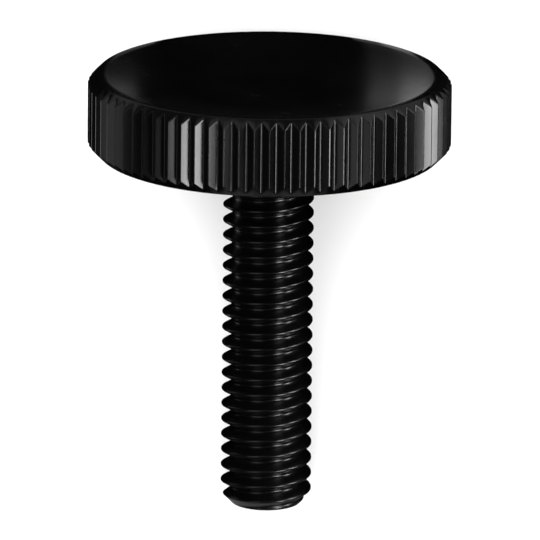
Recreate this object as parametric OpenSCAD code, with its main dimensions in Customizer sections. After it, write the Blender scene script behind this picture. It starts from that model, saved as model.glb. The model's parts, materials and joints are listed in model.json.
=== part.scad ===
// Flat knurled thumb screw with an M4 thread, moulded in one piece.
// It lies on its side: the knurl and the tip's edge touch the ground, and the axis leans between them.
// The screw itself is drawn upright, with +Z towards the top of the head and z = 0 at its underside.

/* [Head] */
// Diameter over the knurl's crests
head_d = 16; // [12:0.5:24]
// Height of the head
head_h = 3.5; // [2.5:0.1:7]
// Chamfer between the knurl and the top face
top_chamfer = 0.4; // [0.3:0.05:0.6]
// Chamfer between the knurl and the underside
bottom_chamfer = 0.5; // [0.3:0.05:0.6]
// Width of the flat rim around the dish
rim_w = 0.35; // [0.2:0.05:1]
// Depth of the dish at its middle
dish_depth = 0.9; // [0.2:0.1:1.5]

/* [Knurl] */
// Number of straight teeth around the head
knurl_count = 75; // [50:1:90]
// Depth of the grooves between the teeth
knurl_depth = 0.28; // [0.1:0.02:0.3]
// Width of the flat crest of a tooth
crest_w = 0.05; // [0.03:0.01:0.15]
// Width of the flat floor of a groove
groove_w = 0.05; // [0.03:0.01:0.1]

/* [Shank] */
// Major diameter of the thread
thread_d = 4; // [3:0.5:6]
// Length of the shank under the head
thread_len = 16; // [10:1:30]
// Chamfer at the tip
tip_chamfer = 0.5; // [0.3:0.05:0.8]
// Radius of the fillet under the head
neck_fillet = 0.2; // [0.1:0.05:0.4]

/* [Hidden] */
$fn = 96;

head_r = head_d / 2;
thread_r = thread_d / 2;
body_color = [0.05, 0.05, 0.055];

// One tooth and one groove take this angle, and the groove at -Y is centred on the ground line.
tooth_step = 360 / knurl_count;
crest_angle = 2 * asin(crest_w / head_d);
groove_angle = 2 * asin(groove_w / (head_d - 2 * knurl_depth));

// The cutting shapes run past the surfaces that they cut by this much.
cut_margin = 0.3;
// The shank reaches this far up into the head.
shank_overlap = 1;

// A sphere of this radius cuts the dish.
dish_r = head_r - top_chamfer - rim_w;
dish_sphere_r = (dish_r * dish_r + dish_depth * dish_depth) / (2 * dish_depth);

// Two crests and the edge above the tip's chamfer carry the screw, which sets the lean of its axis.
contact_r = head_r * cos((tooth_step - crest_angle) / 2);
lean = atan2(contact_r - thread_r, thread_len - tip_chamfer + bottom_chamfer);
lift = contact_r * cos(lean) - bottom_chamfer * sin(lean);

// The ends of the leaning screw along Y, measured from the middle of the head's underside.
head_end = -head_h * cos(lean) - (head_r - top_chamfer) * sin(lean);
tip_end = thread_len * cos(lean) + (thread_r - tip_chamfer) * sin(lean);

function on_circle(r, angle) = [r * cos(angle), r * sin(angle)];

// The outline of one tooth: half a groove, the flank, the crest and the other flank.
function tooth(centre) = [
    on_circle(head_r - knurl_depth, centre - (tooth_step - groove_angle) / 2),
    on_circle(head_r, centre - crest_angle / 2),
    on_circle(head_r, centre + crest_angle / 2),
    on_circle(head_r - knurl_depth, centre + (tooth_step - groove_angle) / 2)
];

module knurl_outline() {
    first = -90 + tooth_step / 2;
    polygon([for (i = [0 : knurl_count - 1]) each tooth(first + i * tooth_step)]);
}

// The head between its two faces, with both chamfers carried on past the crests.
module chamfer_envelope() {
    rotate_extrude()
        polygon([
            [0, 0],
            [head_r - bottom_chamfer, 0],
            [head_r + cut_margin, bottom_chamfer + cut_margin],
            [head_r + cut_margin, head_h - top_chamfer - cut_margin],
            [head_r - top_chamfer, head_h],
            [0, head_h]
        ]);
}

module head() {
    difference() {
        intersection() {
            translate([0, 0, -cut_margin])
                linear_extrude(head_h + 2 * cut_margin)
                    knurl_outline();
            chamfer_envelope();
        }
        translate([0, 0, head_h - dish_depth + dish_sphere_r])
            sphere(r = dish_sphere_r);
    }
}

module shank() {
    rotate_extrude()
        difference() {
            polygon([
                [0, -thread_len],
                [thread_r - tip_chamfer, -thread_len],
                [thread_r, tip_chamfer - thread_len],
                [thread_r, -neck_fillet],
                [thread_r + neck_fillet, -neck_fillet],
                [thread_r + neck_fillet, shank_overlap],
                [0, shank_overlap]
            ]);
            translate([thread_r + neck_fillet, -neck_fillet])
                circle(r = neck_fillet);
        }
}

module lie_down() {
    translate([0, -(head_end + tip_end) / 2, lift])
        rotate([90 - lean, 0, 0])
            children();
}

module thumb_screw() {
    color(body_color)
        lie_down()
            union() {
                head();
                shank();
            }
}

thumb_screw();
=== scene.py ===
"""The looks of a flat knurled thumb screw, M4 x 16 mm, moulded in black plastic and lying on its side."""

import json
import math

import bmesh
import bpy
from mathutils import Matrix, Vector


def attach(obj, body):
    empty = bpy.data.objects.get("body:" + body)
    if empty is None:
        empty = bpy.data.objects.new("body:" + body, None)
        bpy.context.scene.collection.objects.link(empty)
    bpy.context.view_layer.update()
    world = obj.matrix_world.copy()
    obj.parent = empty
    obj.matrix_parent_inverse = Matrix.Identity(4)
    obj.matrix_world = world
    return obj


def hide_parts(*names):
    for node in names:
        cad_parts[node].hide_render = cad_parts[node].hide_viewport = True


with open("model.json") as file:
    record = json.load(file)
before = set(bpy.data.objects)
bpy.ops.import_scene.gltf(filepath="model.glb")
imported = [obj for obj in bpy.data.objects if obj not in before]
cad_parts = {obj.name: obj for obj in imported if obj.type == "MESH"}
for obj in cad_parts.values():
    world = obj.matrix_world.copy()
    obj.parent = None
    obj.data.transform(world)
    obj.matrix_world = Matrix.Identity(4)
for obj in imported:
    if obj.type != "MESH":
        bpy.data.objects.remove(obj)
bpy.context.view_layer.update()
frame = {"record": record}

MM = 0.001

# The head, as the CAD part has it.
HEAD_R = 8.0 * MM
HEAD_H = 3.5 * MM
TOP_CHAMFER = 0.4 * MM
BOTTOM_CHAMFER = 0.5 * MM
RIM_W = 0.35 * MM
DISH_DEPTH = 0.9 * MM
DISH_R = HEAD_R - TOP_CHAMFER - RIM_W
DISH_SPHERE_R = (DISH_R**2 + DISH_DEPTH**2) / (2 * DISH_DEPTH)

# The knurl: straight teeth with a flat crest and 90 degree grooves. One groove lies on the ground line.
TEETH = 75
TOOTH_STEP = math.tau / TEETH
TOOTH_HALF_W = HEAD_R * TOOTH_STEP / 2
GROOVE_DEPTH = 0.28 * MM
CREST_HALF_W = 0.025 * MM
CREST_ROUND = 0.006 * MM
GROOVE_ROUND = 0.02 * MM

# The shank, as the CAD part has it.
THREAD_R = 2.0 * MM
THREAD_LEN = 16.0 * MM
TIP_CHAMFER = 0.5 * MM
NECK_FILLET = 0.2 * MM

# The right-hand metric thread: 60 degree grooves with an external thread's standard depth and crest.
# A groove is as wide as twice the first half at the crests, and twice the second at its floor.
PITCH = 0.7 * MM
THREAD_DEPTH = 0.61343 * PITCH
FLANK_SLOPE = math.sqrt(3)
GROOVE_HALF_OPEN = 7 / 16 * PITCH
GROOVE_HALF_FLOOR = GROOVE_HALF_OPEN - THREAD_DEPTH / FLANK_SLOPE
THREAD_CREST_ROUND = 0.04 * MM
THREAD_ROOT_ROUND = 0.09 * MM
# The plain neck above the thread, the first groove's place below it on the ground line, and the number of
# turns in which the groove reaches its depth.
NECK_LEN = 0.45 * MM
FIRST_GROOVE = 0.35 * MM
RUN_OUT_TURNS = 0.7

# The radii that round the head's edges, the tip's and the dish's, and the flat left beside a rounded edge.
EDGE_R = 0.06 * MM
TIP_R = 0.06 * MM
DISH_EDGE_R = 0.6 * MM
FLAT_MARGIN = 0.08 * MM
# The dish's slope at its edge is taken over this distance.
SLOPE_REACH = 1 * MM

# How finely the surfaces are divided. The rings that meet the knurl's have a whole share of its points.
SHANK_SEGMENTS = TEETH
DISH_SEGMENTS = 4 * TEETH
DISH_RINGS = 18
EDGE_STEPS = 3
NECK_STEPS = 4
# Rings start on the ground line, at this angle round the screw's axis.
GROUND_ANGLE = -math.pi / 2

# The black plastic: its two blacks, its least and greatest roughness, and its grain.
DARKER_BLACK = (0.0004, 0.0004, 0.00042, 1)
LIGHTER_BLACK = (0.0008, 0.0008, 0.00084, 1)
SMOOTHEST = 0.22
ROUGHEST = 0.28
PATCHES_PER_METRE = 350
GRAINS_PER_METRE = 9000
GRAIN_STRENGTH = 0.1
GRAIN_HEIGHT = 0.001 * MM
# Most of a noise texture lies between these values.
NOISE_LOW = 0.3
NOISE_HIGH = 0.7

# The floor, and the lift of the glowing panels that lie on it.
FLOOR_HALF_W = 3.0
FLOOR_GREY = (0.86, 0.86, 0.86, 1)
FLOOR_ROUGHNESS = 0.9
PANEL_LIFT = 0.1 * MM

# The room that the plastic reflects glows at the horizon, and is dark where a direction's Z passes the end.
HORIZON_GLOW = 0.03
HORIZON_GLOW_END = 0.5


def mount(name):
    """One of the record's mounts."""
    return next(m for m in frame["record"]["mounts"] if m["name"] == name)


def screw_frame():
    """The screw's own axes in the row frame: its side (+X), the side that faces up and its axis towards the
    head's top. The last value is the middle of the head's underside."""
    axis = -Vector(mount("thread")["axis"]).normalized()
    on_axis = Vector(mount("thread")["pos_m"])
    on_seat = Vector(mount("seat")["pos_m"])
    middle = on_axis + axis * (on_seat - on_axis).dot(axis)
    side = Vector((1, 0, 0))
    return side, axis.cross(side), axis, middle


SIDE, UPPER, AXIS, MIDDLE = screw_frame()


# ---------------------------------------------------------------- curves


def soft_min(a, b, blend):
    """The smaller of two values, with a round corner where they cross."""
    h = max(blend - abs(a - b), 0) / blend
    return min(a, b) - h * h * blend / 4


def soft_max(a, b, blend):
    """The larger of two values, with a round corner where they cross."""
    return -soft_min(-a, -b, blend)


def smooth_step(x):
    """A smooth rise from 0 to 1 as x goes from 0 to 1."""
    x = min(max(x, 0), 1)
    return x * x * (3 - 2 * x)


def fillet(before, corner, after, radius):
    """The points of an arc that rounds the corner of a path, given as (radius, height) pairs."""
    corner = Vector(corner)
    way_in = (Vector(before) - corner).normalized()
    way_out = (Vector(after) - corner).normalized()
    half = way_in.angle(way_out) / 2
    centre = corner + (way_in + way_out).normalized() * (radius / math.sin(half))
    start = (corner + way_in * (radius / math.tan(half)) - centre).normalized()
    end = (corner + way_out * (radius / math.tan(half)) - centre).normalized()
    return [centre + start.slerp(end, i / EDGE_STEPS) * radius for i in range(EDGE_STEPS + 1)]


# ---------------------------------------------------------------- the mesh, ring by ring


class Shell:
    """A mesh in the screw's own frame, made of rings of vertices round its axis."""

    def __init__(self):
        self.points = []
        self.faces = []

    def point(self, radius, angle, height):
        """Adds a vertex and returns its number."""
        self.points.append((radius * math.cos(angle), radius * math.sin(angle), height))
        return len(self.points) - 1

    def ring(self, radius, height, count):
        """Adds evenly spaced vertices, the first of them on the ground line."""
        return [self.point(radius, GROUND_ANGLE + math.tau * i / count, height) for i in range(count)]

    def face(self, *corners):
        """Adds a face without its repeated corners, or none if too few are left."""
        kept = [c for i, c in enumerate(corners) if c != corners[i - 1]]
        if len(set(kept)) >= 3:
            self.faces.append(kept)

    def band(self, upper, lower):
        """Adds quads between two rings with the same number of points."""
        for i in range(len(upper)):
            self.face(upper[i - 1], upper[i], lower[i], lower[i - 1])

    def bands(self, rings):
        """Adds a band between each ring and the next."""
        for upper, lower in zip(rings, rings[1:]):
            self.band(upper, lower)

    def fans(self, fine, coarse):
        """Adds triangles between two rings, where each coarse point faces the same number of fine ones."""
        share, rest = divmod(len(fine), len(coarse))
        assert rest == 0, "the coarse ring doesn't have a whole share of the fine one's points"
        for i, hub in enumerate(coarse):
            first = i * share - share // 2
            for j in range(first, first + share):
                self.face(fine[j % len(fine)], hub, fine[(j + 1) % len(fine)])
            last = (first + share) % len(fine)
            self.face(fine[last], hub, coarse[(i + 1) % len(coarse)])

    def cap(self, ring, height):
        """Closes a ring with triangles to a point on the axis."""
        centre = self.point(0, 0, height)
        for i in range(len(ring)):
            self.face(ring[i - 1], ring[i], centre)


def half_tooth():
    """Distances round the head from a crest's middle to the points that outline half a tooth. They stand
    closest together where the outline turns."""
    flank_end = CREST_HALF_W + GROOVE_DEPTH
    crest_edge = [CREST_HALF_W + share * CREST_ROUND for share in (-1.2, -0.6, 0, 0.6, 1.1, 1.8)]
    flank_middle = (CREST_HALF_W + flank_end) / 2
    groove_edge = [flank_end - share * GROOVE_ROUND for share in (1.6, 1, 0.5, 0)]
    return [0, *crest_edge, flank_middle, *groove_edge]


def tooth_radius(offset):
    """The knurl's radius at a distance round the head from the middle of a crest."""
    flank = HEAD_R - (abs(offset) - CREST_HALF_W)
    return soft_min(HEAD_R, soft_max(HEAD_R - GROOVE_DEPTH, flank, GROOVE_ROUND), CREST_ROUND)


def knurl_columns():
    """(angle, radius) of every point round the knurl, from the middle of the groove on the ground line."""
    half = half_tooth()
    offsets = [-TOOTH_HALF_W, *(-x for x in reversed(half[1:])), *half]
    return [
        (GROUND_ANGLE + (tooth + 0.5) * TOOTH_STEP + offset / HEAD_R, tooth_radius(offset))
        for tooth in range(TEETH)
        for offset in offsets
    ]


def edge_profile(radius):
    """The head's outline from the underside, over the knurl at this radius and both chamfers, to the rim."""
    foot = (HEAD_R - BOTTOM_CHAMFER, 0)
    rim = (HEAD_R - TOP_CHAMFER, HEAD_H)
    low = (radius, radius - foot[0])
    high = (radius, HEAD_H - (radius - rim[0]))
    on_underside = (foot[0] - FLAT_MARGIN, 0)
    on_rim = (rim[0] - FLAT_MARGIN, HEAD_H)
    return [
        on_underside,
        *fillet(on_underside, foot, low, EDGE_R),
        *fillet(foot, low, high, EDGE_R),
        (radius, low[1] + FLAT_MARGIN),
        (radius, high[1] - FLAT_MARGIN),
        *fillet(low, high, rim, EDGE_R),
        *fillet(high, rim, on_rim, EDGE_R),
    ]


def dish_height(radius):
    """The height of the dish at a distance from its middle."""
    return HEAD_H - DISH_DEPTH + DISH_SPHERE_R - math.sqrt(DISH_SPHERE_R**2 - radius**2)


def dish_profile():
    """The outline from the flat rim over its inner edge and down the dish, without its middle point."""
    on_rim = (DISH_R + SLOPE_REACH, HEAD_H)
    in_dish = (DISH_R - SLOPE_REACH, dish_height(DISH_R - SLOPE_REACH))
    edge = fillet(on_rim, (DISH_R, HEAD_H), in_dish, DISH_EDGE_R)
    bowl_r = edge[-1][0]
    bowl = [bowl_r * (1 - i / DISH_RINGS) for i in range(1, DISH_RINGS)]
    return [*edge, *((r, dish_height(r)) for r in bowl)]


def add_head(shell, neck_ring):
    """The underside from the neck outwards, the knurl with both chamfers, the rim and the dish."""
    columns = knurl_columns()
    profiles = [edge_profile(radius) for _, radius in columns]
    rings = [
        [shell.point(r, angle, z) for (angle, _), (r, z) in zip(columns, level)] for level in zip(*profiles)
    ]
    shell.bands(rings)
    shell.fans(rings[0], neck_ring)

    dish = [shell.ring(r, z, DISH_SEGMENTS) for r, z in dish_profile()]
    shell.fans(rings[-1], dish[0])
    shell.bands(dish)
    shell.cap(dish[-1], dish_height(0))


def groove_samples():
    """Distances along the axis from a groove's middle to the points that outline one pitch."""
    flank_width = GROOVE_HALF_OPEN - GROOVE_HALF_FLOOR
    floor = [0.45 * GROOVE_HALF_FLOOR, GROOVE_HALF_FLOOR, GROOVE_HALF_FLOOR + 0.35 * flank_width]
    crest_edge = [GROOVE_HALF_OPEN + step * MM for step in (-0.035, -0.01, 0.015)]
    half = [*floor, *crest_edge]
    return [*(-x for x in reversed(half)), 0, *half, PITCH / 2]


def thread_radius(across, along, height):
    """The shank's radius at a distance from the groove's middle, this many turns along the groove. The groove
    deepens over the run-out, and the tip's cone cuts the crests."""
    flank = THREAD_R - (GROOVE_HALF_OPEN - abs(across)) * FLANK_SLOPE
    floor = THREAD_R - THREAD_DEPTH
    groove = soft_min(THREAD_R, soft_max(floor, flank, THREAD_ROOT_ROUND), THREAD_CREST_ROUND)
    run_out_from = 0.5 - FIRST_GROOVE / PITCH
    depth_share = smooth_step((along - run_out_from) / RUN_OUT_TURNS)
    cone = THREAD_R - TIP_CHAMFER + (height + THREAD_LEN)
    return soft_min(THREAD_R - (THREAD_R - groove) * depth_share, cone, THREAD_CREST_ROUND)


def thread_column(shell, i, top, top_point, end, end_point):
    """The points down one column of the thread. Those past an end are drawn in to that end's own point."""
    angle = GROUND_ANGLE + math.tau * i / SHANK_SEGMENTS
    # The helix starts above the thread and runs on past its end, so that every column has the same rows.
    turns = range(-1, math.ceil((top - end) / PITCH) + 3)
    column = []
    for along in (turn - i / SHANK_SEGMENTS for turn in turns):
        for across in groove_samples():
            height = top - FIRST_GROOVE - along * PITCH - across
            if height >= top:
                column.append(top_point)
            elif height <= end:
                column.append(end_point)
            else:
                column.append(shell.point(thread_radius(across, along, height), angle, height))
    return column


def add_thread(shell, top, top_ring, end, end_ring):
    """The threaded stretch between two rings, with rows of faces that follow the helix."""
    columns = [thread_column(shell, i, top, top_ring[i], end, end_ring[i]) for i in range(SHANK_SEGMENTS)]
    # One turn on, the same helix row is one pitch further down the first column.
    per_turn = len(groove_samples())
    wrapped = [top_ring[0]] * per_turn + columns[0][:-per_turn]
    for left, right in zip(columns, [*columns[1:], wrapped]):
        for row in range(len(left) - 1):
            shell.face(left[row], left[row + 1], right[row + 1], right[row])


def add_neck(shell):
    """The fillet under the head and the plain stretch below it. It returns their first and last rings."""
    quarter = [math.pi / 2 * i / NECK_STEPS for i in range(NECK_STEPS + 1)]
    profile = [
        (THREAD_R + NECK_FILLET * (1 - math.sin(turn)), -NECK_FILLET * (1 - math.cos(turn)))
        for turn in quarter
    ]
    rings = [shell.ring(r, z, SHANK_SEGMENTS) for r, z in [*profile, (THREAD_R, -NECK_LEN)]]
    shell.bands(rings)
    return rings[0], rings[-1]


def add_tip(shell):
    """The rounded edge of the tip and its flat end. It returns the height and the ring where they start."""
    foot = (THREAD_R - TIP_CHAMFER, -THREAD_LEN)
    up_the_cone = (THREAD_R, TIP_CHAMFER - THREAD_LEN)
    profile = fillet(up_the_cone, foot, (0, -THREAD_LEN), TIP_R)
    flat_r = foot[0] - TIP_R - FLAT_MARGIN
    rings = [shell.ring(r, z, SHANK_SEGMENTS) for r, z in [*profile, (flat_r, -THREAD_LEN)]]
    shell.bands(rings)
    shell.cap(rings[-1], -THREAD_LEN)
    return profile[0][1], rings[0]


def add_shank(shell):
    """The neck, the thread and the tip. It returns the ring where the neck's fillet meets the head."""
    head_ring, neck_end = add_neck(shell)
    tip_height, tip_ring = add_tip(shell)
    add_thread(shell, -NECK_LEN, neck_end, tip_height, tip_ring)
    return head_ring


def face_outwards(mesh):
    """Turns every face of a closed mesh outwards."""
    work = bmesh.new()
    work.from_mesh(mesh)
    bmesh.ops.recalc_face_normals(work, faces=work.faces)
    work.to_mesh(mesh)
    work.free()


def make_screw():
    """The whole screw as one closed mesh, laid down in the row frame."""
    shell = Shell()
    add_head(shell, add_shank(shell))
    mesh = bpy.data.meshes.new("thumb_screw_moulding")
    mesh.from_pydata(shell.points, [], shell.faces)
    turn = Matrix((SIDE, UPPER, AXIS)).transposed().to_4x4()
    mesh.transform(Matrix.Translation(MIDDLE) @ turn)
    face_outwards(mesh)
    mesh.shade_smooth()
    screw = bpy.data.objects.new("thumb_screw_moulding", mesh)
    bpy.context.scene.collection.objects.link(screw)
    return screw


# ---------------------------------------------------------------- materials


def new_material(name):
    """A material, its node tree and its shader."""
    material = bpy.data.materials.new(name)
    material.use_nodes = True
    return material, material.node_tree, material.node_tree.nodes["Principled BSDF"]


def noise(tree, place, cells_per_metre, detail):
    """A noise texture that is fixed to the object."""
    node = tree.nodes.new("ShaderNodeTexNoise")
    node.inputs["Scale"].default_value = cells_per_metre
    node.inputs["Detail"].default_value = detail
    tree.links.new(place, node.inputs["Vector"])
    return node.outputs["Fac"]


def spread(tree, value, low, high):
    """A noise texture's value stretched to run from low to high."""
    node = tree.nodes.new("ShaderNodeMapRange")
    node.inputs["From Min"].default_value = NOISE_LOW
    node.inputs["From Max"].default_value = NOISE_HIGH
    node.inputs["To Min"].default_value = low
    node.inputs["To Max"].default_value = high
    tree.links.new(value, node.inputs["Value"])
    return node.outputs["Result"]


def black_plastic():
    """Black polyamide straight from the mould: a satin gloss over a very fine grain, a little uneven."""
    material, tree, shader = new_material("black_polyamide")
    place = tree.nodes.new("ShaderNodeTexCoord").outputs["Object"]
    patches = noise(tree, place, PATCHES_PER_METRE, detail=3)
    grain = noise(tree, place, GRAINS_PER_METRE, detail=2)

    tint = tree.nodes.new("ShaderNodeMix")
    tint.data_type = "RGBA"
    tint.inputs["A"].default_value = DARKER_BLACK
    tint.inputs["B"].default_value = LIGHTER_BLACK
    tree.links.new(patches, tint.inputs["Factor"])
    tree.links.new(tint.outputs["Result"], shader.inputs["Base Color"])
    tree.links.new(spread(tree, patches, SMOOTHEST, ROUGHEST), shader.inputs["Roughness"])

    bump = tree.nodes.new("ShaderNodeBump")
    bump.inputs["Strength"].default_value = GRAIN_STRENGTH
    bump.inputs["Distance"].default_value = GRAIN_HEIGHT
    tree.links.new(grain, bump.inputs["Height"])
    tree.links.new(bump.outputs["Normal"], shader.inputs["Normal"])
    return material


def pale_floor_material():
    """A dull pale grey."""
    material, _, shader = new_material("pale_floor")
    shader.inputs["Base Color"].default_value = FLOOR_GREY
    shader.inputs["Roughness"].default_value = FLOOR_ROUGHNESS
    shader.inputs["Specular IOR Level"].default_value = 0
    return material


# ---------------------------------------------------------------- stage, camera and light

# The camera looks down on the head's top face at this angle, across the shank's upper side, from far away.
VIEW_ELEVATION = math.radians(15.57)
VIEW_DISTANCE = 640 * MM
# The width of the picture at the screw, and its small turn in the picture's plane.
VIEW_WIDTH = 23.71 * MM
ROLL = math.radians(0.6)
# The point in the middle of the picture, measured in it from the middle of the head's top face.
AIM_DOWN = 8.56 * MM
AIM_RIGHT = 0.09 * MM
# The camera sees nothing nearer or farther than these.
CLIP_START = 10 * MM
CLIP_END = 10

TO_CAMERA = UPPER * math.cos(VIEW_ELEVATION) + AXIS * math.sin(VIEW_ELEVATION)
IMAGE_UP = AXIS * math.cos(VIEW_ELEVATION) - UPPER * math.sin(VIEW_ELEVATION)
IMAGE_RIGHT = IMAGE_UP.cross(TO_CAMERA)


def add_camera():
    """The camera of the picture, far enough away for almost parallel sight lines."""
    data = bpy.data.cameras.new("camera")
    data.lens = data.sensor_width * VIEW_DISTANCE / VIEW_WIDTH
    data.clip_start = CLIP_START
    data.clip_end = CLIP_END
    aim = MIDDLE + AXIS * HEAD_H - IMAGE_UP * AIM_DOWN + IMAGE_RIGHT * AIM_RIGHT
    turn = Matrix((IMAGE_RIGHT, IMAGE_UP, TO_CAMERA)).transposed() @ Matrix.Rotation(ROLL, 3, "Z")
    camera = bpy.data.objects.new("camera", data)
    camera.matrix_world = Matrix.Translation(aim + TO_CAMERA * VIEW_DISTANCE) @ turn.to_4x4()
    bpy.context.scene.collection.objects.link(camera)
    bpy.context.scene.camera = camera


def add_floor():
    """A wide plain floor, which the plastic doesn't reflect."""
    mesh = bpy.data.meshes.new("floor")
    corners = [(-1, -1), (1, -1), (1, 1), (-1, 1)]
    mesh.from_pydata([(x * FLOOR_HALF_W, y * FLOOR_HALF_W, 0) for x, y in corners], [], [(0, 1, 2, 3)])
    mesh.materials.append(pale_floor_material())
    floor = bpy.data.objects.new("floor", mesh)
    bpy.context.scene.collection.objects.link(floor)
    floor.visible_glossy = False


def area_light(name, width, height, radiance):
    """A rectangular light with this radiance all over its face. The camera doesn't see it."""
    data = bpy.data.lights.new(name, "AREA")
    data.shape = "RECTANGLE"
    data.size = width
    data.size_y = height
    data.energy = radiance * math.pi * width * height
    light = bpy.data.objects.new(name, data)
    light.visible_camera = False
    bpy.context.scene.collection.objects.link(light)
    return light


def add_panel(name, x_mm, y_mm, size_mm, radiance):
    """A small glowing panel that lies on the floor, facing up. Only the gloss of the plastic shows it."""
    width, height = size_mm
    light = area_light(name, width * MM, height * MM, radiance)
    light.location = (x_mm * MM, y_mm * MM, PANEL_LIFT)
    light.rotation_euler = (math.pi, 0, 0)
    light.visible_diffuse = False


def add_soft_box(name, direction, distance, size, radiance, for_floor=False):
    """A rectangular light that faces the screw from a direction. It lights the floor or only what shines."""
    light = area_light(name, *size, radiance)
    way = direction.normalized()
    across = AXIS.cross(way).normalized()
    turn = Matrix((across, way.cross(across), way)).transposed().to_4x4()
    light.matrix_world = Matrix.Translation(MIDDLE + way * distance) @ turn
    light.visible_diffuse = for_floor
    light.visible_glossy = not for_floor


def around_head(azimuth, elevation):
    """A direction from the head, in degrees to the right of its front and above the plane of its top."""
    a, e = math.radians(azimuth), math.radians(elevation)
    level = UPPER * math.cos(a) + IMAGE_RIGHT * math.sin(a)
    return level * math.cos(e) + AXIS * math.sin(e)


def add_floor_light():
    """One wide light overhead, which casts the soft shadow."""
    above = Vector((0.1, 0.25, 1))
    add_soft_box("overhead", above, distance=0.9, size=(1.2, 1.2), radiance=3, for_floor=True)


def add_soft_boxes():
    """The lights that the plastic reflects from above the floor."""
    # The knurl shows the key twice, on the left flanks of some teeth and the right flanks of others.
    add_soft_box("key", around_head(38.5, -15), distance=0.3, size=(0.07, 0.16), radiance=14)
    add_soft_box("key_halo", around_head(38, -15), distance=0.31, size=(0.11, 0.18), radiance=2.5)
    add_soft_box("thread_strip", around_head(71, 22), distance=0.3, size=(0.07, 0.2), radiance=15)
    add_soft_box("fill", around_head(-33, 8), distance=0.3, size=(0.15, 0.4), radiance=0.75)
    # These two give the dish a sheen when it is seen from the front.
    add_soft_box("front", around_head(-33, 60), distance=0.4, size=(0.2, 0.2), radiance=0.6)
    add_soft_box("front_right", Vector((-0.64, -0.76, 0.25)), distance=0.4, size=(0.25, 0.25), radiance=0.6)


def add_panels():
    """Glows on the floor, most of them named after what shows them. An overlap would hide one of them."""
    add_panel("dish_glow_right", -4.3, -12.6, size_mm=(1.2, 3.6), radiance=0.18)
    add_panel("dish_glow_far_right", -5.65, -12.4, size_mm=(1.4, 3.4), radiance=0.5)
    add_panel("dish_glow_left", 6.1, -11.5, size_mm=(1.9, 3.2), radiance=0.2)
    add_panel("chamfer_glow", 0, 15, size_mm=(12, 10), radiance=0.3)
    add_panel("far_floor_glow", 0, -50, size_mm=(100, 50), radiance=0.4)
    add_panel("knurl_glow_left", 16.5, -5, size_mm=(10, 10), radiance=1.2)


def horizon_glow(tree):
    """A strength that falls smoothly from the horizon to nothing, both upwards and downwards."""
    direction = tree.nodes.new("ShaderNodeTexCoord")
    split = tree.nodes.new("ShaderNodeSeparateXYZ")
    tree.links.new(direction.outputs["Generated"], split.inputs["Vector"])
    steepness = tree.nodes.new("ShaderNodeMath")
    steepness.operation = "ABSOLUTE"
    tree.links.new(split.outputs["Z"], steepness.inputs[0])
    glow = tree.nodes.new("ShaderNodeMapRange")
    glow.interpolation_type = "SMOOTHSTEP"
    glow.inputs["From Max"].default_value = HORIZON_GLOW_END
    glow.inputs["To Min"].default_value = HORIZON_GLOW
    glow.inputs["To Max"].default_value = 0
    tree.links.new(steepness.outputs["Value"], glow.inputs["Value"])
    return glow.outputs["Result"]


def set_world():
    """A white room for the camera and the floor, and a dark one for reflections."""
    world = bpy.data.worlds.new("room")
    world.use_nodes = True
    tree = world.node_tree
    white = tree.nodes["Background"]
    white.inputs["Color"].default_value = (1, 1, 1, 1)
    dark = tree.nodes.new("ShaderNodeBackground")
    tree.links.new(horizon_glow(tree), dark.inputs["Strength"])
    path = tree.nodes.new("ShaderNodeLightPath")
    mix = tree.nodes.new("ShaderNodeMixShader")
    tree.links.new(path.outputs["Is Glossy Ray"], mix.inputs["Fac"])
    tree.links.new(white.outputs["Background"], mix.inputs[1])
    tree.links.new(dark.outputs["Background"], mix.inputs[2])
    tree.links.new(mix.outputs["Shader"], tree.nodes["World Output"].inputs["Surface"])
    bpy.context.scene.world = world


# ---------------------------------------------------------------- the scene

add_camera()

screw = make_screw()
screw.data.materials.append(black_plastic())
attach(screw, "root")
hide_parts("thumb_screw")

add_floor()
add_floor_light()
add_soft_boxes()
add_panels()
set_world()
bpy.context.scene.view_settings.view_transform = "Standard"
